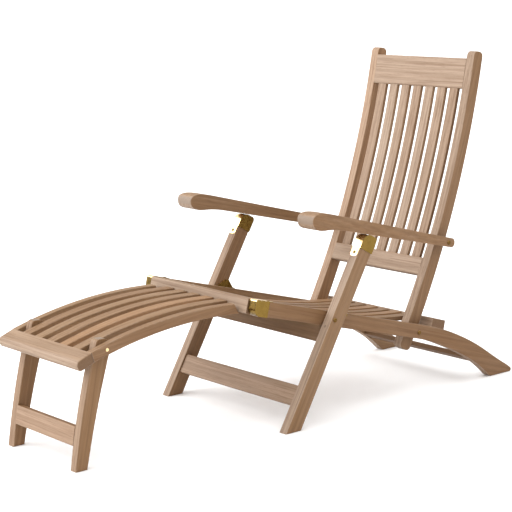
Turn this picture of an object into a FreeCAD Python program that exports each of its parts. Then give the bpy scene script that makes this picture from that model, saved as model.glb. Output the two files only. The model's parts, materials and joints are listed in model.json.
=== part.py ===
import FreeCAD, Part
import math
import os

# Folding deck chair (steamer chair) in teak with brass fittings.
# Millimetres. +Z is up, the footrest points to -Y, the backrest is towards +Y,
# and the chair is symmetric about X = 0. The origin is on the floor, below the
# middle of the chair's outline. Side-view points are written (y, z).

# ---------------------------------------------------------------- driving dimensions
SEAT_SLOPE = 15.7             # fall of the seat side rails towards the back, degrees
LEG_PIVOT = (24.0, 297.0)     # bolt through the front leg and the side rail
BACK_PIVOT = (387.0, 192.0)   # bolt through the backrest stile and the side rail
ARM_PIVOT = (511.5, 450.0)    # bolt through the arm and the backrest stile
FOOT_PIVOT = (-684.0, 321.0)  # bolt through the footrest rail and its leg
OVERALL_HALF = 784.0          # half of the chair's length, footrest feet to rear tips

RAIL_OUT = 263.0              # outer face of the seat side rail, from the middle
RAIL_IN = 233.0
RAIL_DEPTH = 43.0
RAIL_FRONT = 267.0            # from the leg pivot forward to the rail's capped end
RAIL_STRAIGHT = 385.0         # from the leg pivot back to where the rail starts to bend
UNDER_RAIL_HALF = 247.0       # half length of the rail under the seat, let in under the side rails
REAR_HEEL_Y = 690.0           # front of the rail's foot
REAR_TIP_CUT = 11.4           # what rounding takes off the rail's rear tip

LEG_OUT = 300.0
LEG_IN = 269.0
LEG_DEPTH = 47.0
LEG_LEAN = 30.85              # front leg's lean towards the back, from upright, degrees
LEG_FOOT_Y = -140.5           # middle of the front leg's foot
LEG_LENGTH = 606.6            # along the leg, from the floor to its capped end

STILE_OUT = 230.0
STILE_IN = 199.0
STILE_DEPTH = 38.0
STILE_RADIUS = 2900.0         # bend of the backrest, hollow towards the sitter
STILE_LEAN = 28.85            # lean of the stile from upright at its pivot, degrees
STILE_BELOW = 60.0            # stile below its pivot
STILE_ABOVE = 875.0           # stile above its pivot
STILE_SWELL = 6.0             # how much deeper the stile is at its lower end, on the front
SWELL_ENDS = 330.0            # distance above the pivot where the swelling has died out

ARM_NOSE_IN = 252.0           # plan of the arm, from the middle of the chair
ARM_NOSE_OUT = 322.0
ARM_REAR_IN = 233.0
ARM_REAR_OUT = 268.0
ARM_REAR_Y = 536.0
ARM_TAPER_END_Y = 474.0

FOOTREST_OUT = 203.0
FOOTREST_IN = 178.0
FOOTREST_DEPTH = 29.0
FOOT_LEG_OUT = 176.5
FOOT_LEG_IN = 148.5

CAP_WALL = 1.6                # brass sheet of the end caps
CAP_SIDE = 48.0               # length of a cap's side plates
RAIL_TAB = 66.0               # length of the screw tab on a rail's cap
LEG_TAB = 75.0                # length of the screw tab on a leg's cap
BOLT_R = 4.0                  # pivot bolt shank radius
BORE_R = 4.05                 # bore that turns on a bolt
HEAD_R = 6.5
HEAD_H = 2.4
SMALL_HEAD_R = 5.0            # head of the footrest leg's bolt
NUT_H = 2.4
SCREW_HEAD_R = 4.8
GAP = 0.3                     # between faces that slide past each other

SLATS = 7                     # in the seat and in the backrest
SEAT_PITCH = 54.0
SEAT_SLAT_WIDTH = 36.0
BACK_PITCH = 53.5
BACK_SLAT_WIDTH = 35.0
SLAT_THICK = 14.0
FOOT_SLAT_THICK = 18.0
FOOT_SLATS = 5
FOOT_PITCH = 63.5
FOOT_SLAT_WIDTH = 36.0
ARRIS = 2.0                   # rounding of the boards' long edges

V = FreeCAD.Vector
X_AXIS = V(1, 0, 0)
ORIGIN = V(0, 0, 0)
os.makedirs("parts", exist_ok=True)


# ---------------------------------------------------------------- side-view geometry
def rad(degrees):
    return math.radians(degrees)


def rail_point(along, up):
    """Point in the seat's slope: along from the leg pivot to the back, up off the middle."""
    s = rad(SEAT_SLOPE)
    y = LEG_PIVOT[0] + along * math.cos(s) + up * math.sin(s)
    z = LEG_PIVOT[1] - along * math.sin(s) + up * math.cos(s)
    return (y, z)


def leg_point(across, along):
    """Point on the front leg: across from its middle to the back, along from the floor."""
    t = rad(LEG_LEAN)
    y = LEG_FOOT_Y + across * math.cos(t) + along * math.sin(t)
    z = along * math.cos(t) - across * math.sin(t)
    return (y, z)


def polar(centre, radius, degrees):
    a = rad(degrees)
    return (centre[0] + radius * math.cos(a), centre[1] + radius * math.sin(a))


def circle_through(a, b, c):
    """Centre and radius of the circle through three side-view points."""
    curve = Part.Arc(V(0, *a), V(0, *b), V(0, *c)).toShape().Curve
    return (curve.Center.y, curve.Center.z), curve.Radius


def stile_angle(along):
    """Angle round the backrest's centre of bend, for a distance along the stile."""
    return -STILE_LEAN + math.degrees(along / STILE_RADIUS)


BACK_CENTRE = (BACK_PIVOT[0] - STILE_RADIUS * math.cos(rad(STILE_LEAN)),
               BACK_PIVOT[1] + STILE_RADIUS * math.sin(rad(STILE_LEAN)))
SEAT_CENTRE, SEAT_R = circle_through((-168.0, 373.0), (138.5, 270.5), (445.0, 226.0))
FOOTREST_CENTRE, FOOTREST_R = circle_through((-730.0, 322.0), (-510.0, 368.0), (-241.0, 374.0))
HINGE = rail_point(-270.0, -RAIL_DEPTH / 2 - 5.0)


class Outline:
    """A closed side view, drawn from point to point."""

    def __init__(self, start):
        self.start = start
        self.here = start
        self.edges = []

    def line(self, *ends):
        for end in ends:
            self.edges.append(Part.LineSegment(V(0, *self.here), V(0, *end)).toShape())
            self.here = end
        return self

    def arc(self, middle, end):
        self.edges.append(Part.Arc(V(0, *self.here), V(0, *middle), V(0, *end)).toShape())
        self.here = end
        return self

    def curve(self, leave, points, arrive):
        """Smooth curve through the points, with its direction given at both ends."""
        spline = Part.BSplineCurve()
        knots = [V(0, *self.here)] + [V(0, *p) for p in points]
        spline.interpolate(Points=knots, InitialTangent=V(0, *leave), FinalTangent=V(0, *arrive))
        self.edges.append(spline.toShape())
        self.here = points[-1]
        return self

    def board(self, x_from, x_to):
        """Close the outline and give it its thickness across the chair."""
        if math.dist(self.here, self.start) > 1e-6:
            self.line(self.start)
        face = Part.Face(Part.Wire(self.edges))
        face.translate(V(x_from, 0, 0))
        return face.extrude(V(x_to - x_from, 0, 0))


def bent_board(centre, r_in, r_out, from_deg, to_deg, x_from, x_to, slant_deg=0.0):
    """A board that follows an arc in the side view. Its first end can be slanted."""
    inner_from = from_deg + slant_deg
    outline = Outline(polar(centre, r_out, from_deg))
    outline.arc(polar(centre, r_out, (from_deg + to_deg) / 2), polar(centre, r_out, to_deg))
    outline.line(polar(centre, r_in, to_deg))
    outline.arc(polar(centre, r_in, (inner_from + to_deg) / 2), polar(centre, r_in, inner_from))
    return outline.board(x_from, x_to)


def polygon_board(corners, x_from, x_to):
    return Outline(corners[0]).line(*corners[1:]).board(x_from, x_to)


def sloped_box(along_from, along_to, up_from, up_to, x_from, x_to):
    """A straight board set square to the seat's slope."""
    corners = [rail_point(along_from, up_from), rail_point(along_to, up_from),
               rail_point(along_to, up_to), rail_point(along_from, up_to)]
    return polygon_board(corners, x_from, x_to)


# ---------------------------------------------------------------- solid helpers
def round_corner(solid, near, radius):
    """Round the edge that crosses the chair at a side-view point."""
    found = []
    for edge in solid.Edges:
        box = edge.BoundBox
        across = box.YLength < 0.01 and box.ZLength < 0.01
        if across and math.dist((box.YMin, box.ZMin), near) < 0.5:
            found.append(edge)
    return solid.makeFillet(radius, found)


def trim(board, room):
    """The part of a board that lies inside a room, as one solid."""
    return board.common(room).Solids[0]


def soft_sides(solid, radius=ARRIS, shortest=0):
    """Round the edges of a board that lie in its two side faces."""
    in_sides = [e for e in solid.Edges if e.BoundBox.XLength < 0.01 and e.Length > shortest]
    return solid.makeFillet(radius, in_sides)


def soft_along(solid, radius=ARRIS):
    """Round the edges that run across the chair."""
    along = [e for e in solid.Edges if e.BoundBox.YLength < 0.01 and e.BoundBox.ZLength < 0.01]
    return solid.makeFillet(radius, along)


def rod(x_from, x_to, radius, point):
    low, high = min(x_from, x_to), max(x_from, x_to)
    return Part.makeCylinder(radius, high - low, V(low, *point), X_AXIS)


def ring(x_from, x_to, r_out, r_in, point):
    return rod(x_from, x_to, r_out, point).cut(rod(x_from - 1, x_to + 1, r_in, point))


def drill(solid, radius, point):
    """Bore right through a piece on the +X side."""
    return solid.cut(rod(0, 400, radius, point))


def domed_disc(x_face, outward, radius, height, point):
    """Low domed head standing on the plane x_face."""
    top = x_face + outward * height
    disc = rod(x_face, top, radius, point)
    rim = [e for e in disc.Edges if e.BoundBox.XLength < 0.01 and abs(e.BoundBox.XMin - top) < 0.01]
    return disc.makeFillet(height * 0.7, rim)


def bolt_and_nut(x_head, x_nut, point, head_r=HEAD_R):
    """Pivot bolt: slotted domed head outside x_head, cap nut inside x_nut."""
    shank = rod(x_nut, x_head, BOLT_R, point)
    head = domed_disc(x_head, 1, head_r, HEAD_H, point)
    nut = domed_disc(x_nut, -1, HEAD_R, NUT_H, point)
    slot = Part.makeBox(1.2, 2 * head_r, 1.4)
    slot.translate(V(x_head + HEAD_H - 0.9, point[0] - head_r, point[1] - 0.7))
    return shank.fuse([head, nut]).cut(slot).removeSplitter()


def screw(length):
    """Slotted screw, its head standing on Z = 0 and its shank going down."""
    head = Part.makeCylinder(SCREW_HEAD_R, 1.5)
    head = head.makeFillet(1.0, [e for e in head.Edges if e.BoundBox.ZMin > 1.4])
    slot = Part.makeBox(2 * SCREW_HEAD_R, 1.1, 0.7, V(-SCREW_HEAD_R, -0.55, 0.9))
    return head.fuse(screw_hole(length)).cut(slot)


def screw_hole(length):
    return Part.makeCylinder(1.6, length, V(0, 0, -length))


def mirrored(solid):
    return solid.mirror(ORIGIN, X_AXIS)


def pair(solid):
    """The same piece on both sides of the chair, as two separate solids."""
    return Part.makeCompound([solid, mirrored(solid)])


def group(solids):
    return Part.makeCompound(solids)


parts = {}


def both_sides(name, solid):
    """Keep a left (+X) piece and its mirror image on the right."""
    parts[name + "_left"] = solid
    parts[name + "_right"] = mirrored(solid)


# ---------------------------------------------------------------- brass end caps
def end_cap(width, depth, r_tab, r_back, tab_length, both_plates):
    """Folded cap for a board's end. The end is at Y = 0, the board goes to +Y, the tab is on +Z."""
    half = depth / 2
    outer = half + CAP_WALL
    block = polygon_board([(0, -outer), (tab_length, -outer), (tab_length, outer), (0, outer)],
                          -width / 2 - CAP_WALL, width / 2 + CAP_WALL)
    block = round_corner(block, (0, outer), r_tab + CAP_WALL)
    block = round_corner(block, (0, -outer), r_back + CAP_WALL)
    core_end = tab_length + 1
    core = polygon_board([(CAP_WALL, -half), (core_end, -half), (core_end, half), (CAP_WALL, half)],
                         -width / 2, width / 2)
    core = round_corner(core, (CAP_WALL, half), r_tab)
    core = round_corner(core, (CAP_WALL, -half), r_back)
    shell = block.cut(core)
    wrap = Part.makeBox(width + 20, CAP_SIDE, depth + 20, V(-width / 2 - 10, 0, -depth / 2 - 10))
    tab = Part.makeBox(width - 2, tab_length, 10, V(1 - width / 2, 0, outer - 5))
    ends = [e for e in tab.Edges if e.BoundBox.ZLength > 9 and e.BoundBox.YMin > tab_length - 1]
    cap = shell.common(wrap.fuse(tab.makeFillet(9.0, ends)))
    if not both_plates:
        cap = cap.cut(Part.makeBox(CAP_WALL, 200, 200, V(-width / 2 - CAP_WALL, -50, -100)))
    return cap.cut(cap_screw_place(screw_hole(20), depth, tab_length)).removeSplitter()


def cap_screw_place(piece, depth, tab_length):
    """Set a screw, or its hole, near the end of the tab."""
    piece.translate(V(0, tab_length - 12, depth / 2 + CAP_WALL))
    return piece


def on_rail(piece):
    """Move a piece from the cap's own frame to the left rail's front end."""
    piece.rotate(ORIGIN, X_AXIS, -SEAT_SLOPE)
    piece.translate(V((RAIL_IN + RAIL_OUT) / 2, *rail_point(-RAIL_FRONT, 0)))
    return piece


def on_leg(piece):
    """Move a piece from the cap's own frame to the left front leg's top, tab to the front."""
    piece.rotate(ORIGIN, V(0, 1, 0), 180)
    piece.rotate(ORIGIN, X_AXIS, -90 - LEG_LEAN)
    piece.translate(V((LEG_IN + LEG_OUT) / 2, *leg_point(0, LEG_LENGTH)))
    return piece


# ---------------------------------------------------------------- seat frame
def seat_rail():
    half = RAIL_DEPTH / 2
    slope = (math.cos(rad(SEAT_SLOPE)), -math.sin(rad(SEAT_SLOPE)))
    front = -RAIL_FRONT + CAP_WALL
    top_bend, bottom_bend = rail_point(RAIL_STRAIGHT + 20, half), rail_point(RAIL_STRAIGHT, -half)
    tip, heel = (OVERALL_HALF + REAR_TIP_CUT, 0.0), (REAR_HEEL_Y, 0.0)
    outline = Outline(rail_point(front, -half))
    outline.line(rail_point(front, half), top_bend)
    outline.curve(slope, [(559.0, 153.5), (645.0, 105.0), (734.0, 44.0), tip], (0.72, -0.69))
    outline.line(heel)
    outline.curve((-0.72, 0.69), [(644.0, 42.0), (558.0, 98.0), (473.0, 140.0), bottom_bend],
                  (-slope[0], -slope[1]))
    board = outline.board(RAIL_IN, RAIL_OUT)
    board = round_corner(board, rail_point(front, -half), 17.0)
    board = round_corner(board, rail_point(front, half), 5.0)
    board = round_corner(board, tip, 7.0)
    board = round_corner(board, heel, 12.0)
    return soft_sides(board)


PLATE_OUT = RAIL_OUT + 4.0
PLATE = [(10, 286), (18, 302), (38, 320), (62, 331), (76, 331), (92, 302), (99, 301), (99, 292), (34, 277)]
PLATE_SCREWS = [(58.0, 290.0), (78.0, 296.0)]


def pivot_plate():
    plate = polygon_board(PLATE, RAIL_OUT, PLATE_OUT)
    for corner, radius in ((0, 4.0), (3, 6.0), (4, 6.0), (6, 2.0), (8, 10.0)):
        plate = round_corner(plate, PLATE[corner], radius)
    return drill(plate, BOLT_R, LEG_PIVOT)


def side_screw(piece, x_face, point):
    """Turn a screw, or its hole, so that it goes in from the left side."""
    piece.rotate(ORIGIN, V(0, 1, 0), 90)
    piece.translate(V(x_face, *point))
    return piece


rail = seat_rail()
rail = drill(rail, BOLT_R, LEG_PIVOT)
rail = drill(rail, BORE_R, BACK_PIVOT)
rail_cap = on_rail(end_cap(RAIL_OUT - RAIL_IN, RAIL_DEPTH, 5.0, 17.0, RAIL_TAB, False))
rail = rail.cut(on_rail(cap_screw_place(screw_hole(14), RAIL_DEPTH, RAIL_TAB)))
rail_screw = on_rail(cap_screw_place(screw(14), RAIL_DEPTH, RAIL_TAB))
plate = pivot_plate()
frame_screws = [rail_screw, mirrored(rail_screw)]
for point in PLATE_SCREWS:
    plate = plate.cut(side_screw(screw_hole(14), PLATE_OUT, point))
    rail = rail.cut(side_screw(screw_hole(14), PLATE_OUT, point))
    plate_screw = side_screw(screw(14), PLATE_OUT, point)
    frame_screws += [plate_screw, mirrored(plate_screw)]

# the crossrail that closes the back of the seat is let in on top of the side rails
SEAT_BACK = (445.0, 226.0)
s_cos, s_sin = math.cos(rad(SEAT_SLOPE)), math.sin(rad(SEAT_SLOPE))
rear_corners = [SEAT_BACK, (SEAT_BACK[0] + 54 * s_cos, SEAT_BACK[1] - 54 * s_sin),
                (SEAT_BACK[0] + 54 * s_cos - 30 * s_sin, SEAT_BACK[1] - 54 * s_sin - 30 * s_cos),
                (SEAT_BACK[0] - 26 * s_sin, SEAT_BACK[1] - 26 * s_cos)]
rear_crossrail = polygon_board(rear_corners, -RAIL_OUT, RAIL_OUT)
rear_crossrail = round_corner(rear_crossrail, rear_corners[0], 4.0)
rear_crossrail = round_corner(rear_crossrail, rear_corners[1], 4.0)
rear_crossrail = rear_crossrail.cut([seat_rail(), mirrored(seat_rail())])

plugs = []
for across, along in ((248.0, 15.0), (248.0, 39.0)):
    plug = Part.makeCylinder(4.5, 8.4, V(0, 0, -8.0))
    plug.rotate(ORIGIN, X_AXIS, -SEAT_SLOPE)
    plug.translate(V(across, SEAT_BACK[0] + along * s_cos, SEAT_BACK[1] - along * s_sin))
    plugs += [plug, mirrored(plug)]
rear_crossrail = rear_crossrail.cut(plugs)

half_rail = RAIL_DEPTH / 2
front_crossrail = sloped_box(-272, -206, -half_rail, half_rail, -RAIL_IN, RAIL_IN)
front_crossrail = soft_along(front_crossrail, 4.0)

seat_end_deg = [math.degrees(math.atan2(z - SEAT_CENTRE[1], y - SEAT_CENTRE[0]))
                for y, z in ((-190.0, 380.0), (470.0, 226.0))]
seat_sheet = bent_board(SEAT_CENTRE, SEAT_R, SEAT_R + SLAT_THICK, seat_end_deg[0], seat_end_deg[1],
                        -SEAT_SLAT_WIDTH / 2, SEAT_SLAT_WIDTH / 2)
seat_room = polygon_board([rail_point(-206, -60), rail_point(-206, 60), (SEAT_BACK[0] + 20 * s_sin, 246),
                           SEAT_BACK, rear_corners[3],
                           (SEAT_BACK[0] - 60 * s_sin, SEAT_BACK[1] - 60 * s_cos)],
                          -RAIL_IN, RAIL_IN)
seat_slat = soft_sides(trim(seat_sheet, seat_room))
for i in range(SLATS):
    slat = seat_slat.copy()
    slat.translate(V((i - (SLATS - 1) / 2) * SEAT_PITCH, 0, 0))
    parts["seat_slat_%d" % (i + 1)] = slat

under_rail = sloped_box(0, 23, -72, 20, -UNDER_RAIL_HALF, UNDER_RAIL_HALF)
slat_and_above = bent_board(SEAT_CENTRE, SEAT_R - 80, SEAT_R + SLAT_THICK, seat_end_deg[0],
                            seat_end_deg[1], -400, 400)
under_rail = under_rail.cut([slat_and_above, seat_rail(), mirrored(seat_rail())])
under_rail = round_corner(under_rail, rail_point(0, -72), 3.0)
under_rail = round_corner(under_rail, rail_point(23, -72), 3.0)

# the board between the rear legs lies in their slope
FALL = rad(32.0)
slope_down, slope_up = (math.cos(FALL), -math.sin(FALL)), (math.sin(FALL), math.cos(FALL))
low_front = (608.0, 70.0)
width, thick = 37.0, 15.0
low_back = (low_front[0] + width * slope_down[0], low_front[1] + width * slope_down[1])
rear_stretcher = polygon_board([low_front, low_back,
                                (low_back[0] + thick * slope_up[0], low_back[1] + thick * slope_up[1]),
                                (low_front[0] + thick * slope_up[0], low_front[1] + thick * slope_up[1])],
                               -RAIL_IN, RAIL_IN)
rear_stretcher = soft_along(rear_stretcher, 3.0)

leg_washer = ring(PLATE_OUT, LEG_IN - GAP, 11.0, BOLT_R, LEG_PIVOT)
stile_washer = ring(STILE_OUT + GAP, RAIL_IN, 11.0, BORE_R, BACK_PIVOT)

both_sides("seat_rail", rail)
both_sides("rail_cap", rail_cap)
both_sides("pivot_plate", plate)
parts["seat_front_crossrail"] = front_crossrail
parts["seat_rear_crossrail"] = rear_crossrail
parts["crossrail_plugs"] = group(plugs)
parts["under_seat_rail"] = under_rail
parts["rear_leg_stretcher"] = rear_stretcher
parts["frame_screws"] = group(frame_screws)
parts["pivot_washers"] = group([leg_washer, mirrored(leg_washer), stile_washer, mirrored(stile_washer)])
parts["leg_pivot_bolts"] = pair(bolt_and_nut(LEG_OUT + GAP, RAIL_IN, LEG_PIVOT))
parts["backrest_bolts"] = pair(bolt_and_nut(RAIL_OUT + GAP, STILE_IN - GAP, BACK_PIVOT))

# ---------------------------------------------------------------- backrest
front_r, rear_r = STILE_RADIUS - STILE_DEPTH / 2, STILE_RADIUS + STILE_DEPTH / 2
low, high = stile_angle(-STILE_BELOW), stile_angle(STILE_ABOVE)
swell_r = front_r - STILE_SWELL
side = Outline(polar(BACK_CENTRE, rear_r, low))
side.arc(polar(BACK_CENTRE, rear_r, (low + high) / 2), polar(BACK_CENTRE, rear_r, high))
side.line(polar(BACK_CENTRE, front_r, high))
side.arc(polar(BACK_CENTRE, front_r, stile_angle(600.0)),
         polar(BACK_CENTRE, front_r, stile_angle(SWELL_ENDS)))
side.arc(polar(BACK_CENTRE, front_r - 0.72 * STILE_SWELL, stile_angle(140.0)),
         polar(BACK_CENTRE, swell_r, low))
stile = side.board(STILE_IN, STILE_OUT)
for radius, corner in ((14.0, polar(BACK_CENTRE, swell_r, low)), (14.0, polar(BACK_CENTRE, rear_r, low)),
                       (15.0, polar(BACK_CENTRE, front_r, high)), (15.0, polar(BACK_CENTRE, rear_r, high))):
    stile = round_corner(stile, corner, radius)
stile = soft_sides(stile)
stile = drill(stile, BORE_R, BACK_PIVOT)
stile = drill(stile, BORE_R, ARM_PIVOT)
both_sides("stile", stile)


def back_rail(along_from, along_to, proud, thick):
    board = bent_board(BACK_CENTRE, front_r - proud, front_r - proud + thick, stile_angle(along_from),
                       stile_angle(along_to), -STILE_IN, STILE_IN)
    return soft_along(board, 4.0)


BOTTOM_RAIL = (170.0, 225.0)
TOP_RAIL = (758.0, 851.0)
parts["backrest_bottom_rail"] = back_rail(BOTTOM_RAIL[0], BOTTOM_RAIL[1], 3.0, 28.0)
parts["backrest_top_rail"] = back_rail(TOP_RAIL[0], TOP_RAIL[1], 0.0, 24.0)
back_slat = bent_board(BACK_CENTRE, front_r + 3, front_r + 15, stile_angle(BOTTOM_RAIL[1]),
                       stile_angle(TOP_RAIL[0]), -BACK_SLAT_WIDTH / 2, BACK_SLAT_WIDTH / 2)
back_slat = soft_sides(back_slat, ARRIS, 45)
for i in range(SLATS):
    slat = back_slat.copy()
    slat.translate(V((i - (SLATS - 1) / 2) * BACK_PITCH, 0, 0))
    parts["backrest_slat_%d" % (i + 1)] = slat
parts["arm_washers"] = pair(ring(STILE_OUT, ARM_REAR_IN - GAP, 11.0, BORE_R, ARM_PIVOT))

# ---------------------------------------------------------------- arms
def arm_top(y):
    return 596.0 - (y - 42.0) * 0.278


def arm_bottom(y):
    return 564.0 - (y - 8.0) * 0.254


def arm():
    rear_low, rear_high = (ARM_REAR_Y, arm_bottom(ARM_REAR_Y)), (ARM_REAR_Y, arm_top(ARM_REAR_Y))
    side = Outline((42.0, arm_top(42.0)))
    side.line(rear_high, rear_low, (60.0, arm_bottom(60.0)))
    nose = [(-2.0, 561.0), (-40.0, 565.0), (-58.0, 575.0), (-64.5, 590.0), (-60.0, 604.0),
            (-45.0, 611.0), (-25.0, 611.5), (42.0, arm_top(42.0))]
    side.curve((-1.0, 0.254), nose, (1.0, -0.278))
    board = side.board(200.0, 360.0)
    board = round_corner(board, rear_low, 13.0)
    board = round_corner(board, rear_high, 13.0)
    plan = Part.makePolygon([V(ARM_NOSE_IN, -70, 0), V(ARM_NOSE_OUT, -70, 0),
                             V(ARM_REAR_OUT, ARM_TAPER_END_Y, 0), V(ARM_REAR_OUT, 560, 0),
                             V(ARM_REAR_IN, 560, 0), V(ARM_REAR_IN, ARM_TAPER_END_Y, 0),
                             V(ARM_NOSE_IN, -70, 0)])
    plan = Part.Face(plan).extrude(V(0, 0, 800))
    corners = [e for e in plan.Edges if e.BoundBox.ZLength > 700 and e.BoundBox.YMin < -60]
    plan = plan.makeFillet(12.0, corners)
    return drill(trim(board, plan), BORE_R, ARM_PIVOT)


both_sides("arm", arm())
parts["arm_pivot_bolts"] = pair(bolt_and_nut(ARM_REAR_OUT + GAP, STILE_IN - GAP, ARM_PIVOT))

# ---------------------------------------------------------------- front legs
half_leg = LEG_DEPTH / 2
timber_end = LEG_LENGTH - CAP_WALL
foot_drop = half_leg * math.tan(rad(LEG_LEAN))
leg_corners = [leg_point(-half_leg, -foot_drop), leg_point(half_leg, foot_drop),
               leg_point(half_leg, timber_end), leg_point(-half_leg, timber_end)]
leg = polygon_board(leg_corners, LEG_IN, LEG_OUT)
leg = round_corner(leg, leg_corners[2], 8.0)
leg = round_corner(leg, leg_corners[3], 24.0)
leg = soft_sides(leg)
leg = drill(leg, BORE_R, LEG_PIVOT)
leg = leg.cut(on_leg(cap_screw_place(screw_hole(14), LEG_DEPTH, LEG_TAB)))
leg_screw = on_leg(cap_screw_place(screw(14), LEG_DEPTH, LEG_TAB))
leg_plug = Part.makeCylinder(4.5, 8.3, V(0, -0.3, 0), V(0, 1, 0))
leg_plug.rotate(ORIGIN, X_AXIS, -LEG_LEAN)
leg_plug.translate(V((LEG_IN + LEG_OUT) / 2, *leg_point(-half_leg, 313.0)))
leg = leg.cut(leg_plug)
both_sides("front_leg", leg)
both_sides("leg_cap", on_leg(end_cap(LEG_OUT - LEG_IN, LEG_DEPTH, 24.0, 8.0, LEG_TAB, True)))
parts["leg_cap_screws"] = pair(leg_screw)
parts["leg_plugs"] = pair(leg_plug)
front_stretcher = polygon_board([leg_point(-18, 71), leg_point(4, 71), leg_point(4, 130),
                                 leg_point(-18, 130)], -LEG_IN, LEG_IN)
parts["front_leg_stretcher"] = soft_along(front_stretcher, 4.0)

# ---------------------------------------------------------------- footrest
NOSE_Y = -733.0               # where the nose rail meets the footrest's top surface


def footrest_deg(y):
    """Angle round the footrest's centre of bend, for a point of its top surface."""
    return math.degrees(math.acos((y - FOOTREST_CENTRE[0]) / FOOTREST_R))


def crossrail_deg(radius, along):
    """Angle at which a circle of the footrest meets a plane square to the seat's slope."""
    offset_y, offset_z = FOOTREST_CENTRE[0] - LEG_PIVOT[0], FOOTREST_CENTRE[1] - LEG_PIVOT[1]
    reach = along - offset_y * math.cos(rad(SEAT_SLOPE)) + offset_z * math.sin(rad(SEAT_SLOPE))
    return math.degrees(math.acos(reach / radius)) - SEAT_SLOPE


front_deg = footrest_deg(NOSE_Y)
rail_end_deg = footrest_deg(-258.0)
foot_rail = bent_board(FOOTREST_CENTRE, FOOTREST_R - FOOTREST_DEPTH, FOOTREST_R, rail_end_deg, front_deg,
                       FOOTREST_IN, FOOTREST_OUT, -0.72)
foot_rail = drill(soft_sides(foot_rail), BOLT_R, FOOT_PIVOT)
both_sides("footrest_rail", foot_rail)

slat_end = -272.0 - 0.7
slat_r = FOOTREST_R - FOOT_SLAT_THICK
slat_top_deg = crossrail_deg(FOOTREST_R, slat_end)

# the slat's rear end is rounded down on to the seat's front crossrail
crown = 0.26
foot_side = Outline(polar(FOOTREST_CENTRE, FOOTREST_R, slat_top_deg + crown))
foot_side.arc(polar(FOOTREST_CENTRE, FOOTREST_R, 96.0), polar(FOOTREST_CENTRE, FOOTREST_R, front_deg))
foot_side.line(polar(FOOTREST_CENTRE, slat_r, front_deg))
foot_side.arc(polar(FOOTREST_CENTRE, slat_r, 96.0),
              polar(FOOTREST_CENTRE, slat_r, crossrail_deg(slat_r, slat_end)))
foot_side.line(polar(FOOTREST_CENTRE, FOOTREST_R - 6, crossrail_deg(FOOTREST_R - 6, slat_end)))
foot_side.arc(polar(FOOTREST_CENTRE, FOOTREST_R - 1.8, slat_top_deg + 0.3 * crown),
              polar(FOOTREST_CENTRE, FOOTREST_R, slat_top_deg + crown))
foot_slat = soft_sides(foot_side.board(-FOOT_SLAT_WIDTH / 2, FOOT_SLAT_WIDTH / 2), ARRIS, 45)
for i in range(FOOT_SLATS):
    slat = foot_slat.copy()
    slat.translate(V((i - (FOOT_SLATS - 1) / 2) * FOOT_PITCH, 0, 0))
    parts["footrest_slat_%d" % (i + 1)] = slat

nose_corners = [polar(FOOTREST_CENTRE, FOOTREST_R, front_deg),
                polar(FOOTREST_CENTRE, FOOTREST_R - FOOTREST_DEPTH - 0.5, front_deg),
                (-770.5, 275.0), (-787.0, 300.5)]
nose = polygon_board(nose_corners, -FOOTREST_OUT, FOOTREST_OUT)
nose = round_corner(nose, nose_corners[2], 11.0)
nose = round_corner(nose, nose_corners[3], 14.0)
parts["footrest_nose_rail"] = soft_sides(nose, 4.0)

batten = polygon_board([(-287.0, 348.0), (-249.0, 348.0), (-249.0, 375.0), (-287.0, 375.0)],
                       -FOOTREST_IN, FOOTREST_IN)
batten = batten.cut(bent_board(FOOTREST_CENTRE, slat_r, FOOTREST_R + 60, footrest_deg(-215.0),
                               front_deg, -400, 400))
batten = round_corner(batten, (-287.0, 348.0), 3.0)
parts["footrest_rear_rail"] = batten

# butt hinges: the seat leaf has the two outer knuckles, the footrest leaf the middle one and the pin
KNUCKLE_R = 3.4
LEAF = 1.8
HINGE_X = 110.0
seat_leaves = []
foot_leaves = []
for x in (-HINGE_X, HINGE_X):
    seat_plate = sloped_box(-270, -238, -half_rail - LEAF, -half_rail, x - 20, x + 20)
    seat_plate = seat_plate.fuse([rod(x - 20, x - 8.2, KNUCKLE_R, HINGE),
                                  rod(x + 8.2, x + 20, KNUCKLE_R, HINGE)])
    seat_plate = seat_plate.cut([rod(x - 8.2, x + 8.2, KNUCKLE_R + GAP, HINGE),
                                 rod(x - 21, x + 21, 1.55, HINGE)])
    seat_leaves.append(seat_plate.removeSplitter())
    foot_plate = Part.makeBox(40, 287.0 + HINGE[0] - 2, LEAF, V(x - 20, -285.0, 348.0 - LEAF))
    foot_plate = foot_plate.cut([rod(x - 21, x - 7.9, KNUCKLE_R + GAP, HINGE),
                                 rod(x + 7.9, x + 21, KNUCKLE_R + GAP, HINGE)])
    foot_plate = foot_plate.fuse([rod(x - 7.9, x + 7.9, KNUCKLE_R, HINGE), rod(x - 20, x + 20, 1.5, HINGE)])
    foot_leaves.append(foot_plate.removeSplitter())
parts["footrest_hinge_seat_leaves"] = group(seat_leaves)
parts["footrest_hinge_leaves"] = group(foot_leaves)

nut_face = FOOT_LEG_IN - GAP
parts["footrest_leg_bolts"] = pair(bolt_and_nut(FOOTREST_OUT, nut_face, FOOT_PIVOT, SMALL_HEAD_R))

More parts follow.
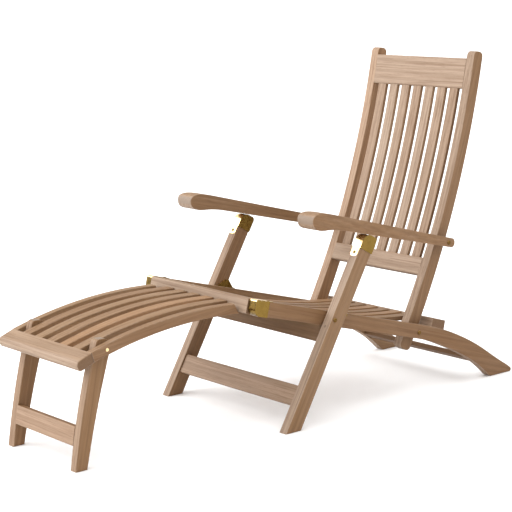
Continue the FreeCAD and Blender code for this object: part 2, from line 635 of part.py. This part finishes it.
# ---------------------------------------------------------------- footrest legs
top_front, top_rear = (-698.0, 346.0), (-663.0, 345.0)
leg_side = Outline((-OVERALL_HALF, 0.0))
leg_side.arc((-749.0, 171.0), top_front)
leg_side.line(top_rear, (-659.0, 304.0))
leg_side.arc((-708.0, 150.0), (-747.0, 0.0))
foot_leg = leg_side.board(FOOT_LEG_IN, FOOT_LEG_OUT)
foot_leg = round_corner(foot_leg, top_front, 14.0)
foot_leg = round_corner(foot_leg, top_rear, 14.0)
foot_leg = drill(soft_sides(foot_leg), BORE_R, FOOT_PIVOT)
both_sides("footrest_leg", foot_leg)
foot_stretcher = polygon_board([(-773.0, 64.5), (-753.0, 61.0), (-742.5, 113.5), (-762.5, 117.0)],
                               -FOOT_LEG_IN, FOOT_LEG_IN)
parts["footrest_leg_stretcher"] = soft_along(foot_stretcher, 3.0)

# ---------------------------------------------------------------- output
for name, shape in parts.items():
    shape.exportStep("parts/%s.step" % name)
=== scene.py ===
import json
import math

import bpy
from mathutils import Matrix, Vector

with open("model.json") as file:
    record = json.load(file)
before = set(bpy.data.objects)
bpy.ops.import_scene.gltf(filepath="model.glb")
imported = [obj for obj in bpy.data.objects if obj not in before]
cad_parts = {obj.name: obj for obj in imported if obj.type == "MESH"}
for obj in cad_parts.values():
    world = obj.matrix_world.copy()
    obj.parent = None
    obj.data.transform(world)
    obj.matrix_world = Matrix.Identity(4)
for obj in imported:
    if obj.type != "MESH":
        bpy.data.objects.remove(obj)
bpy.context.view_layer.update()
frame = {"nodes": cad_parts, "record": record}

# The chair: teak boards with straight grain along their length, and brass fittings.
# Places are in metres in the CAD frame: +Z up, footrest to -Y, sitter's left to +X.
# Colours are linear red, green and blue.

UP = (0.0, 0.0, 1.0)
FORWARD = (0.0, -1.0, 0.0)
ACROSS = (1.0, 0.0, 0.0)


def scaled(colour, factor):
    return tuple(part * factor for part in colour)


def opaque(colour):
    return tuple(colour) + (1.0,)


# ---------------------------------------------------------------- values of the wood
BROWN = (0.205, 0.110, 0.050)         # sides of the boards
TOP_BROWN = (0.226, 0.129, 0.061)     # faces that look up
PALE = (0.312, 0.219, 0.153)          # faces that look to the front, partly bleached and partly painted light from the front; and bleached patches
DARK_STREAK = (0.110, 0.052, 0.024)
END_BROWN = (0.135, 0.076, 0.040)     # end grain
END_PALE = (0.245, 0.192, 0.147)      # end grain that looks up or to the front, partly painted light
WORN = (0.400, 0.295, 0.210)          # rubbed arrises

# Noise patterns on a board: cells per metre along the grain and in the two directions across it,
# then the detail and the roughness of the noise.
NOISES = {
    "streaks": ((3.5, 170.0, 170.0), 4.0, 0.62),
    "clouds": ((4.0, 14.0, 14.0), 3.0, 0.55),
    "fibres": ((10.0, 420.0, 420.0), 3.0, 0.60),
    "pores": ((30.0, 900.0, 900.0), 2.0, 0.50),
}
# Growth rings, seen as bands on a board's face and as circles on its end: the stretch of the pattern
# along and across the grain, its scale, and how far it wanders.
FACE_BANDS = ((0.8, 52.0, 40.0), 0.8, 7.0)
END_RINGS = ((0.02, 1.0, 1.0), 70.0, 3.0)
RING_DETAIL = {"Detail": 3.0, "Detail Scale": 0.7, "Detail Roughness": 0.6}

# Layers of colour on a face, in the order they are laid: a pattern, its value where the layer starts to
# show and where it shows in full, the layer's full strength, and its colour.
FACE_LAYERS = (
    ("bands", 0.20, 0.95, 0.22, scaled(BROWN, 0.55)),
    ("streaks", 0.46, 0.74, 0.44, DARK_STREAK),
    ("streaks", 0.46, 0.26, 0.15, scaled(PALE, 1.2)),
    ("fibres", 0.45, 0.75, 0.30, DARK_STREAK),
    ("pores", 0.60, 0.74, 0.50, DARK_STREAK),
)
END_LAYER = (0.10, 0.90, 0.55)        # the same three values for the rings on an end

# How well a face looks in a direction: the cosine where it starts to count and where it counts in full.
LOOKS_UP = (0.35, 0.90)
LOOKS_FORWARD = (0.15, 0.80)
LEVEL_END = (0.75, 0.95)
ACROSS_GRAIN = (0.72, 0.93)
END_STRENGTH = 0.85                   # how far the end grain hides the face colours

# The clouds bleach a board by this much, less a part that leaves their darkest places brown.
BLEACH_BY_CLOUDS = 0.45
BLEACH_LESS = 0.17
# Worn arrises: their width, the cosine of the turn that counts as an arris and as a flat face, and the two
# values of the clouds with the wear that each gives.
ARRIS = 0.0022
ARRIS_TURN = (0.900, 0.995)
ARRIS_WEAR = (0.35, 0.60, 0.10, 0.45)
BEVEL_SAMPLES = 4

# Every board lies at its own place in the patterns: the step per seed and where it starts again.
PLACE_STEPS = ((1.73, 7.1), (0.91, 5.3), (2.37, 6.7))
# Every board has its own brightness and warmth: the step per seed, the lowest value and the span.
TINT = (0.618, 0.87, 0.26)
WARMTH = (0.377, 0.96, 0.09)

# The relief of the surface, as shares of the patterns, and the roughness at two values of the streaks.
WOOD_RELIEF = {"fibres": 0.6, "pores": -0.5, "streaks": 0.5}
WOOD_BUMP = 0.28
WOOD_DEPTH = 0.0008
WOOD_ROUGHNESS = (0.3, 0.7, 0.55, 0.70)
WOOD_SPECULAR = 0.25


# ---------------------------------------------------------------- node helpers
class Nodes:
    """Short ways to add and join shader nodes in one material, or in the world."""

    def __init__(self, tree):
        self.tree = tree

    def add(self, kind, **props):
        node = self.tree.nodes.new(kind)
        for key, value in props.items():
            setattr(node, key, value)
        return node

    def join(self, out, into):
        self.tree.links.new(out, into)

    def feed(self, value, socket):
        """Joins a socket to the input, or sets the input to a constant."""
        if hasattr(value, "is_linked"):
            self.join(value, socket)
        else:
            socket.default_value = value

    def math(self, op, a, b=0.0, clamp=False):
        node = self.add("ShaderNodeMath", operation=op, use_clamp=clamp)
        self.feed(a, node.inputs[0])
        self.feed(b, node.inputs[1])
        return node.outputs[0]

    def mix(self, amount, a, b, blend="MIX"):
        """Colour b over colour a. The mix node keeps its colours in inputs 6 and 7 and in output 2."""
        node = self.add("ShaderNodeMix", data_type="RGBA", blend_type=blend)
        self.feed(amount, node.inputs[0])
        self.feed(a, node.inputs[6])
        self.feed(b, node.inputs[7])
        return node.outputs[2]

    def ramp(self, value, low, high, out_low=0.0, out_high=1.0):
        """A smooth step from out_low at low to out_high at high."""
        node = self.add("ShaderNodeMapRange", interpolation_type="SMOOTHSTEP")
        self.feed(value, node.inputs[0])
        for i, limit in enumerate((low, high, out_low, out_high), start=1):
            node.inputs[i].default_value = limit
        return node.outputs[0]

    def noise(self, where, scale, detail, rough, distort=0.0):
        node = self.add("ShaderNodeTexNoise")
        self.join(where, node.inputs["Vector"])
        node.inputs["Scale"].default_value = scale
        node.inputs["Detail"].default_value = detail
        node.inputs["Roughness"].default_value = rough
        node.inputs["Distortion"].default_value = distort
        return node.outputs["Fac"]

    def stretch(self, where, scale):
        node = self.add("ShaderNodeVectorMath", operation="MULTIPLY")
        self.join(where, node.inputs[0])
        node.inputs[1].default_value = scale
        return node.outputs[0]

    def dot(self, where, direction):
        node = self.add("ShaderNodeVectorMath", operation="DOT_PRODUCT")
        self.feed(where, node.inputs[0])
        self.feed(direction, node.inputs[1])
        return node.outputs["Value"]


def new_material(name):
    """An empty node material, and the short ways to fill it."""
    mat = bpy.data.materials.new(name)
    mat.use_nodes = True
    mat.node_tree.nodes.clear()
    return mat, Nodes(mat.node_tree)


def finish_shader(nodes, colour, roughness, height, bump, depth):
    """Principled shader with a bump, joined to the output."""
    shader = nodes.add("ShaderNodeBsdfPrincipled")
    nodes.join(colour, shader.inputs["Base Color"])
    nodes.join(roughness, shader.inputs["Roughness"])
    relief = nodes.add("ShaderNodeBump")
    relief.inputs["Strength"].default_value = bump
    relief.inputs["Distance"].default_value = depth
    nodes.join(height, relief.inputs["Height"])
    nodes.join(relief.outputs[0], shader.inputs["Normal"])
    out = nodes.add("ShaderNodeOutputMaterial")
    nodes.join(shader.outputs[0], out.inputs["Surface"])
    return shader


# ---------------------------------------------------------------- wood
def frame_axes(grain):
    """Grain direction, then two directions square to it. A board across the chair has its grain on X."""
    along = Vector(grain).normalized()
    lies_across = abs(along.x) > 0.9
    side = Vector(UP) if lies_across else Vector(ACROSS)
    flat = along.cross(side).normalized()
    side = flat.cross(along).normalized()
    return along, side, flat


def board_space(nodes, where, axes, seed):
    """Coordinates of one board: x along the grain, y and z across it, moved on by the seed."""
    board = nodes.add("ShaderNodeCombineXYZ")
    for socket, direction in zip(board.inputs, axes):
        nodes.join(nodes.dot(where, direction), socket)
    shift = nodes.add("ShaderNodeVectorMath", operation="ADD")
    nodes.join(board.outputs[0], shift.inputs[0])
    shift.inputs[1].default_value = tuple(seed * step % wrap for step, wrap in PLACE_STEPS)
    return shift.outputs[0]


def growth_rings(nodes, board, kind, stretch, scale, wander, **direction):
    """A pattern of growth rings, as flat bands or as circles."""
    rings = nodes.add("ShaderNodeTexWave", wave_type=kind, wave_profile="SIN", **direction)
    nodes.join(nodes.stretch(board, stretch), rings.inputs["Vector"])
    rings.inputs["Scale"].default_value = scale
    rings.inputs["Distortion"].default_value = wander
    for socket, value in RING_DETAIL.items():
        rings.inputs[socket].default_value = value
    return rings.outputs["Fac"]


def wood_figure(nodes, board):
    """The patterns that show on a board's faces, by name."""
    figure = {"bands": growth_rings(nodes, board, "BANDS", *FACE_BANDS, bands_direction="DIAGONAL")}
    for name, (cells, detail, rough) in NOISES.items():
        figure[name] = nodes.noise(nodes.stretch(board, cells), 1.0, detail, rough)
    return figure


def face_colour(nodes, facing, figure, tone):
    """Brown wood, paler where it looks to the front, partly bleached and partly painted light from the
    front, bleached in clouds, with its figure laid over it.
    """
    up = nodes.ramp(nodes.dot(facing, UP), *LOOKS_UP)
    # Faces that look to the front turn pale: partly bleaching, partly painted light from the front.
    front = nodes.ramp(nodes.dot(facing, FORWARD), *LOOKS_FORWARD)
    bleach_and_front_light = nodes.math("MULTIPLY", figure["clouds"], BLEACH_BY_CLOUDS)
    bleach_and_front_light = nodes.math("ADD", bleach_and_front_light, tone - BLEACH_LESS)
    bleach_and_front_light = nodes.math("ADD", bleach_and_front_light, front, clamp=True)
    colour = nodes.mix(up, opaque(BROWN), opaque(TOP_BROWN))
    colour = nodes.mix(bleach_and_front_light, colour, opaque(PALE))
    for pattern, start, full, strength, over in FACE_LAYERS:
        colour = nodes.mix(nodes.ramp(figure[pattern], start, full, 0.0, strength), colour, opaque(over))
    return colour


def end_colour(nodes, facing, board):
    """End grain, which shows the rings round the heart of the tree."""
    start, full, strength = END_LAYER
    rings = growth_rings(nodes, board, "RINGS", *END_RINGS, rings_direction="X")
    # End grain that looks to the front or up is paler, partly as painted light.
    front = nodes.ramp(nodes.dot(facing, FORWARD), *LOOKS_FORWARD)
    level = nodes.ramp(nodes.dot(facing, UP), *LEVEL_END)
    colour = nodes.mix(nodes.math("MAXIMUM", front, level), opaque(END_BROWN), opaque(END_PALE))
    return nodes.mix(nodes.ramp(rings, start, full, 0.0, strength), colour, opaque(DARK_STREAK))


def worn_edge(nodes, clouds):
    """Wear of the arrises, which is 0 on a flat face."""
    rounded = nodes.add("ShaderNodeBevel", samples=BEVEL_SAMPLES)
    rounded.inputs["Radius"].default_value = ARRIS
    flat = nodes.add("ShaderNodeNewGeometry").outputs["Normal"]
    arris = nodes.ramp(nodes.dot(rounded.outputs[0], flat), *ARRIS_TURN, 1.0, 0.0)
    return nodes.math("MULTIPLY", arris, nodes.ramp(clouds, *ARRIS_WEAR))


def spread(seed, step, lowest, span):
    """A value of its own for every seed, spread evenly over the span."""
    return lowest + span * ((seed * step) % 1.0)


def wood(name, grain, seed, tone=0.0, shade=1.0):
    """Weathered teak with its grain along a direction. seed moves the figure and the tint from board
    to board. tone above 0 is paler and below 0 browner; shade under 1 darkens the whole board, as painted
    shade."""
    mat, nodes = new_material(name)
    axes = frame_axes(grain)
    place = nodes.add("ShaderNodeTexCoord")
    facing = place.outputs["Normal"]
    board = board_space(nodes, place.outputs["Object"], axes, seed)
    figure = wood_figure(nodes, board)

    colour = face_colour(nodes, facing, figure, tone)
    end = nodes.ramp(nodes.math("ABSOLUTE", nodes.dot(facing, axes[0])), *ACROSS_GRAIN)
    colour = nodes.mix(nodes.math("MULTIPLY", end, END_STRENGTH), colour, end_colour(nodes, facing, board))
    colour = nodes.mix(worn_edge(nodes, figure["clouds"]), colour, opaque(WORN))
    # Random tint of the board, times its painted shade.
    tint = shade * spread(seed, *TINT)
    warm = spread(seed, *WARMTH)
    colour = nodes.mix(1.0, colour, (tint * warm, tint, tint / warm, 1.0), "MULTIPLY")

    height = 0.0
    for pattern, share in WOOD_RELIEF.items():
        height = nodes.math("ADD", nodes.math("MULTIPLY", figure[pattern], share), height)
    roughness = nodes.ramp(figure["streaks"], *WOOD_ROUGHNESS)
    shader = finish_shader(nodes, colour, roughness, height, WOOD_BUMP, WOOD_DEPTH)
    shader.inputs["Specular IOR Level"].default_value = WOOD_SPECULAR
    return mat


# ---------------------------------------------------------------- brass
# Each state of the brass: its clean colour, its dull colour (painted shade on its sides and underneath,
# and the colour of tarnished patches) and its roughness.
BRASS = {
    "brass_worn": ((0.86, 0.64, 0.30), (0.190, 0.118, 0.028), 0.18),
    "brass_bolts": ((0.36, 0.22, 0.075), (0.150, 0.084, 0.024), 0.34),
    "brass_screws": ((0.16, 0.10, 0.035), (0.090, 0.052, 0.018), 0.40),
    # Painted glint: the dull colour is as bright as the clean one, so these bolt heads shine on every
    # side.
    "brass_painted_glint": ((0.90, 0.72, 0.40), (0.900, 0.700, 0.380), 0.15),
}
# Patterns on the brass: cells per metre, detail and roughness of the noise. Scratches are stretched.
PATCHES = (60.0, 4.0, 0.6)
PATCH_WANDER = 0.3
SPOTS = (420.0, 3.0, 0.6)
SCRATCHES = ((1500.0, 90.0, 90.0), 2.0, 0.5)
# Ramps on the brass: the two values of what drives them, and what they give there.
# Painted shade: the brass turns to its dull colour where it looks sideways or down.
PAINTED_SHADE_BY_FACING = (0.24, 0.50, 1.0, 0.0)
TARNISH_BY_PATCHES = (0.50, 0.75, 0.0, 0.25)
SPOT_STRENGTH = (0.55, 0.75, 0.0, 0.40)
SPOT_SHADE = 0.5
PATCH_RANGE = (0.35, 0.70)
PATCH_ROUGHER = 0.22
SCRATCH_ROUGHER = (0.5, 0.8, 0.0, 0.12)
SCRATCH_RELIEF = 0.5
BRASS_BUMP = 0.12
BRASS_DEPTH = 0.0004


def brass(name, clean, dull, rough):
    """Worn brass: clean where it looks up; on its sides and underneath its dull colour, as painted shade;
    tarnished in patches.
    """
    mat, nodes = new_material(name)
    place = nodes.add("ShaderNodeTexCoord")
    where = place.outputs["Object"]
    patches = nodes.noise(where, *PATCHES, PATCH_WANDER)
    spots = nodes.noise(where, *SPOTS)
    scratch_cells, scratch_detail, scratch_rough = SCRATCHES
    scratches = nodes.noise(nodes.stretch(where, scratch_cells), 1.0, scratch_detail, scratch_rough)

    # Sides and underneath take the dull colour as painted shade; the patches add real tarnish.
    by_facing = nodes.ramp(nodes.dot(place.outputs["Normal"], UP), *PAINTED_SHADE_BY_FACING)
    tarnish_and_shade = nodes.math("ADD", by_facing, nodes.ramp(patches, *TARNISH_BY_PATCHES))
    colour = nodes.mix(nodes.math("MINIMUM", tarnish_and_shade, 1.0), opaque(clean), opaque(dull))
    colour = nodes.mix(nodes.ramp(spots, *SPOT_STRENGTH), colour, opaque(scaled(dull, SPOT_SHADE)))

    patch_roughness = nodes.ramp(patches, *PATCH_RANGE, rough, rough + PATCH_ROUGHER)
    roughness = nodes.math("ADD", patch_roughness, nodes.ramp(scratches, *SCRATCH_ROUGHER))
    height = nodes.math("ADD", spots, nodes.math("MULTIPLY", scratches, SCRATCH_RELIEF))
    shader = finish_shader(nodes, colour, roughness, height, BRASS_BUMP, BRASS_DEPTH)
    shader.inputs["Metallic"].default_value = 1.0
    return mat


# ---------------------------------------------------------------- what each node is made of
def slant(degrees):
    """Direction that runs to the back and falls by an angle."""
    angle = math.radians(degrees)
    return (0.0, math.cos(angle), -math.sin(angle))


def lean(degrees):
    """Direction that rises and leans to the back by an angle."""
    angle = math.radians(degrees)
    return (0.0, math.sin(angle), math.cos(angle))


STILE = lean(20.0)
FRONT_LEG = lean(30.85)
ARM = slant(15.0)
FOOTREST = slant(-6.0)
FOOTREST_LEG = (0.0, 0.24, 0.97)
# Grain of the boards whose names start with these words. A plug's grain runs through its board.
GRAIN = {
    "seat_rail": slant(18.0),
    "seat_slat": slant(13.5),
    "seat_front_crossrail": ACROSS,
    "seat_rear_crossrail": ACROSS,
    "under_seat_rail": ACROSS,
    "rear_leg_stretcher": ACROSS,
    "stile": STILE,
    "backrest_slat": STILE,
    "backrest_top_rail": ACROSS,
    "backrest_bottom_rail": ACROSS,
    "arm_left": ARM,
    "arm_right": ARM,
    "front_leg_left": FRONT_LEG,
    "front_leg_right": FRONT_LEG,
    "front_leg_stretcher": ACROSS,
    "footrest_rail": FOOTREST,
    "footrest_slat": FOOTREST,
    "footrest_nose_rail": ACROSS,
    "footrest_rear_rail": ACROSS,
    "footrest_leg_left": FOOTREST_LEG,
    "footrest_leg_right": FOOTREST_LEG,
    "footrest_leg_stretcher": ACROSS,
    "crossrail_plugs": (0.0, 0.27, 0.96),
    "leg_plugs": (0.0, 0.86, -0.52),
}
# Boards paler or browner than the rest: above 0 paler, below 0 browner. At -1.0 the boards under the seat
# lose their pale fronts, as painted shade.
TONE = {
    "seat_front_crossrail": 0.25,
    "footrest_nose_rail": 0.20,
    "footrest_leg_left": -0.45,
    "footrest_leg_right": -0.45,
    "footrest_leg_stretcher": -0.15,
    "seat_rear_crossrail": 0.05,
    # Painted shade: the boards under the seat keep none of the pale front.
    "under_seat_rail": -1.0,
    "rear_leg_stretcher": -1.0,
    "crossrail_plugs": -0.5,
    "leg_plugs": 0.4,
}
# Boards under the seat and the footrest, darkened by a factor as painted shade.
SHADE = {
    "under_seat_rail": 0.80,
    "rear_leg_stretcher": 0.62,
    "footrest_leg_stretcher": 0.86,
}


def brass_state(name):
    """Which state of the brass a fitting is in."""
    # The footrest leg bolts shine as a painted glint.
    if name == "footrest_leg_bolts":
        return "brass_painted_glint"
    if name.endswith("_bolts"):
        return "brass_bolts"
    if name.endswith("_screws"):
        return "brass_screws"
    return "brass_worn"


def dress():
    """Gives every CAD node its material."""
    metals = {name: brass(name, *values) for name, values in BRASS.items()}
    slots = {subpart["node"]: subpart["material_slot"] for subpart in frame["record"]["subparts"]}
    longest_first = sorted(GRAIN, key=len, reverse=True)
    for seed, (name, obj) in enumerate(sorted(frame["nodes"].items()), start=1):
        if slots[name] == "brass":
            mat = metals[brass_state(name)]
        else:
            board = next(start for start in longest_first if name.startswith(start))
            mat = wood("teak_" + name, GRAIN[board], seed, TONE.get(board, 0.0), SHADE.get(board, 1.0))
        obj.data.materials.clear()
        obj.data.materials.append(mat)


dress()


# ---------------------------------------------------------------- floor
FLOOR_HALF = 80.0
FLOOR_DROP = 0.0005                   # the floor stays clear of the feet by this
FLOOR_WHITE = (0.93, 0.93, 0.93)
FLOOR_ROUGHNESS = 0.9
FLOOR_SPECULAR = 0.1


def stage():
    """A white floor that reaches far past the picture."""
    half = FLOOR_HALF
    mesh = bpy.data.meshes.new("floor")
    corners = [(-half, -half, 0), (half, -half, 0), (half, half, 0), (-half, half, 0)]
    mesh.from_pydata(corners, [], [(0, 1, 2, 3)])
    floor = bpy.data.objects.new("floor", mesh)
    bpy.context.scene.collection.objects.link(floor)
    mat = bpy.data.materials.new("floor_white")
    mat.use_nodes = True
    shader = mat.node_tree.nodes["Principled BSDF"]
    shader.inputs["Base Color"].default_value = opaque(FLOOR_WHITE)
    shader.inputs["Roughness"].default_value = FLOOR_ROUGHNESS
    shader.inputs["Specular IOR Level"].default_value = FLOOR_SPECULAR
    mesh.materials.append(mat)
    floor.location.z = -FLOOR_DROP


# ---------------------------------------------------------------- light
WHITE = (1.0, 1.0, 1.0)
COOL_WHITE = (0.97, 0.98, 1.0)
# The world's light. SKY_ABOVE has two heights of a direction and the strength at each. Light from ahead is
# added: SKY_AHEAD has two values of how far a direction points ahead and the strength at each, and the
# light from ahead comes in between two heights.
SKY_ABOVE = (0.0, 0.7, 0.55, 1.80)
SKY_AHEAD = (0.1, 0.9, 0.0, 1.0)
SKY_AHEAD_HEIGHTS = (0.05, 0.35)
AHEAD = (-0.25, -0.97, 0.0)
LIGHT_AIM = (0.0, 0.0, 0.5)
# Area lights: place, width and height, power in watts, and colour.
AREA_LIGHTS = {
    "key_front": ((-4.6, -8.2, 3.9), (4.4, 3.6), 330.0, COOL_WHITE),
    "side_card": ((-3.9, -2.2, 2.75), (1.6, 1.6), 45.0, WHITE),
}


def area(name, place, size, power, colour):
    """A rectangular light that looks at the chair."""
    light = bpy.data.lights.new(name, "AREA")
    light.shape = "RECTANGLE"
    light.size, light.size_y = size
    light.energy = power
    light.color = colour
    obj = bpy.data.objects.new(name, light)
    obj.location = place
    obj.rotation_euler = (Vector(LIGHT_AIM) - Vector(place)).to_track_quat("-Z", "Y").to_euler()
    bpy.context.scene.collection.objects.link(obj)


def lights():
    """A white tent round the chair: bright above and in front, dimmer low down at the other sides."""
    world = bpy.data.worlds.new("studio")
    world.use_nodes = True
    nodes = Nodes(world.node_tree)
    direction = nodes.add("ShaderNodeTexCoord").outputs["Generated"]
    height = nodes.dot(direction, UP)
    above = nodes.ramp(height, *SKY_ABOVE)
    ahead = nodes.ramp(nodes.dot(direction, AHEAD), *SKY_AHEAD)
    ahead = nodes.math("MULTIPLY", ahead, nodes.ramp(height, *SKY_AHEAD_HEIGHTS))
    background = world.node_tree.nodes["Background"]
    nodes.join(nodes.math("ADD", above, ahead), background.inputs["Strength"])
    background.inputs["Color"].default_value = opaque(WHITE)
    bpy.context.scene.world = world
    for name, values in AREA_LIGHTS.items():
        area(name, *values)
    bpy.context.scene.view_settings.view_transform = "Standard"


# ---------------------------------------------------------------- camera
# Angles in degrees. The azimuth is measured from the front towards the sitter's left.
CAMERA_AZIMUTH = 51.957
CAMERA_ELEVATION = 10.588
CAMERA_ROLL = -2.0
CAMERA_TARGET = (0.0, -0.018, 0.4509)
CAMERA_DISTANCE = 4.966
SENSOR_MM = 36.0
LENS_MM = 118.547
CLIP_NEAR = 0.05
CLIP_FAR = 100.0


def camera():
    """A long lens on the chair's front left corner, from a little higher than the backrest."""
    azimuth = math.radians(CAMERA_AZIMUTH)
    elevation = math.radians(CAMERA_ELEVATION)
    roll = math.radians(CAMERA_ROLL)
    reach = math.cos(elevation)
    back = Vector((math.sin(azimuth) * reach, -math.cos(azimuth) * reach, math.sin(elevation)))
    level = Vector((math.cos(azimuth), math.sin(azimuth), 0.0))
    over = back.cross(level)
    right = level * math.cos(roll) + over * math.sin(roll)
    up = over * math.cos(roll) - level * math.sin(roll)
    place = Vector(CAMERA_TARGET) + back * CAMERA_DISTANCE

    data = bpy.data.cameras.new("camera")
    data.sensor_width = SENSOR_MM
    data.lens = LENS_MM
    data.clip_start = CLIP_NEAR
    data.clip_end = CLIP_FAR
    cam = bpy.data.objects.new("camera", data)
    cam.matrix_world = Matrix(((right.x, up.x, back.x, place.x),
                               (right.y, up.y, back.y, place.y),
                               (right.z, up.z, back.z, place.z),
                               (0, 0, 0, 1)))
    bpy.context.scene.collection.objects.link(cam)
    bpy.context.scene.camera = cam


stage()
lights()
camera()
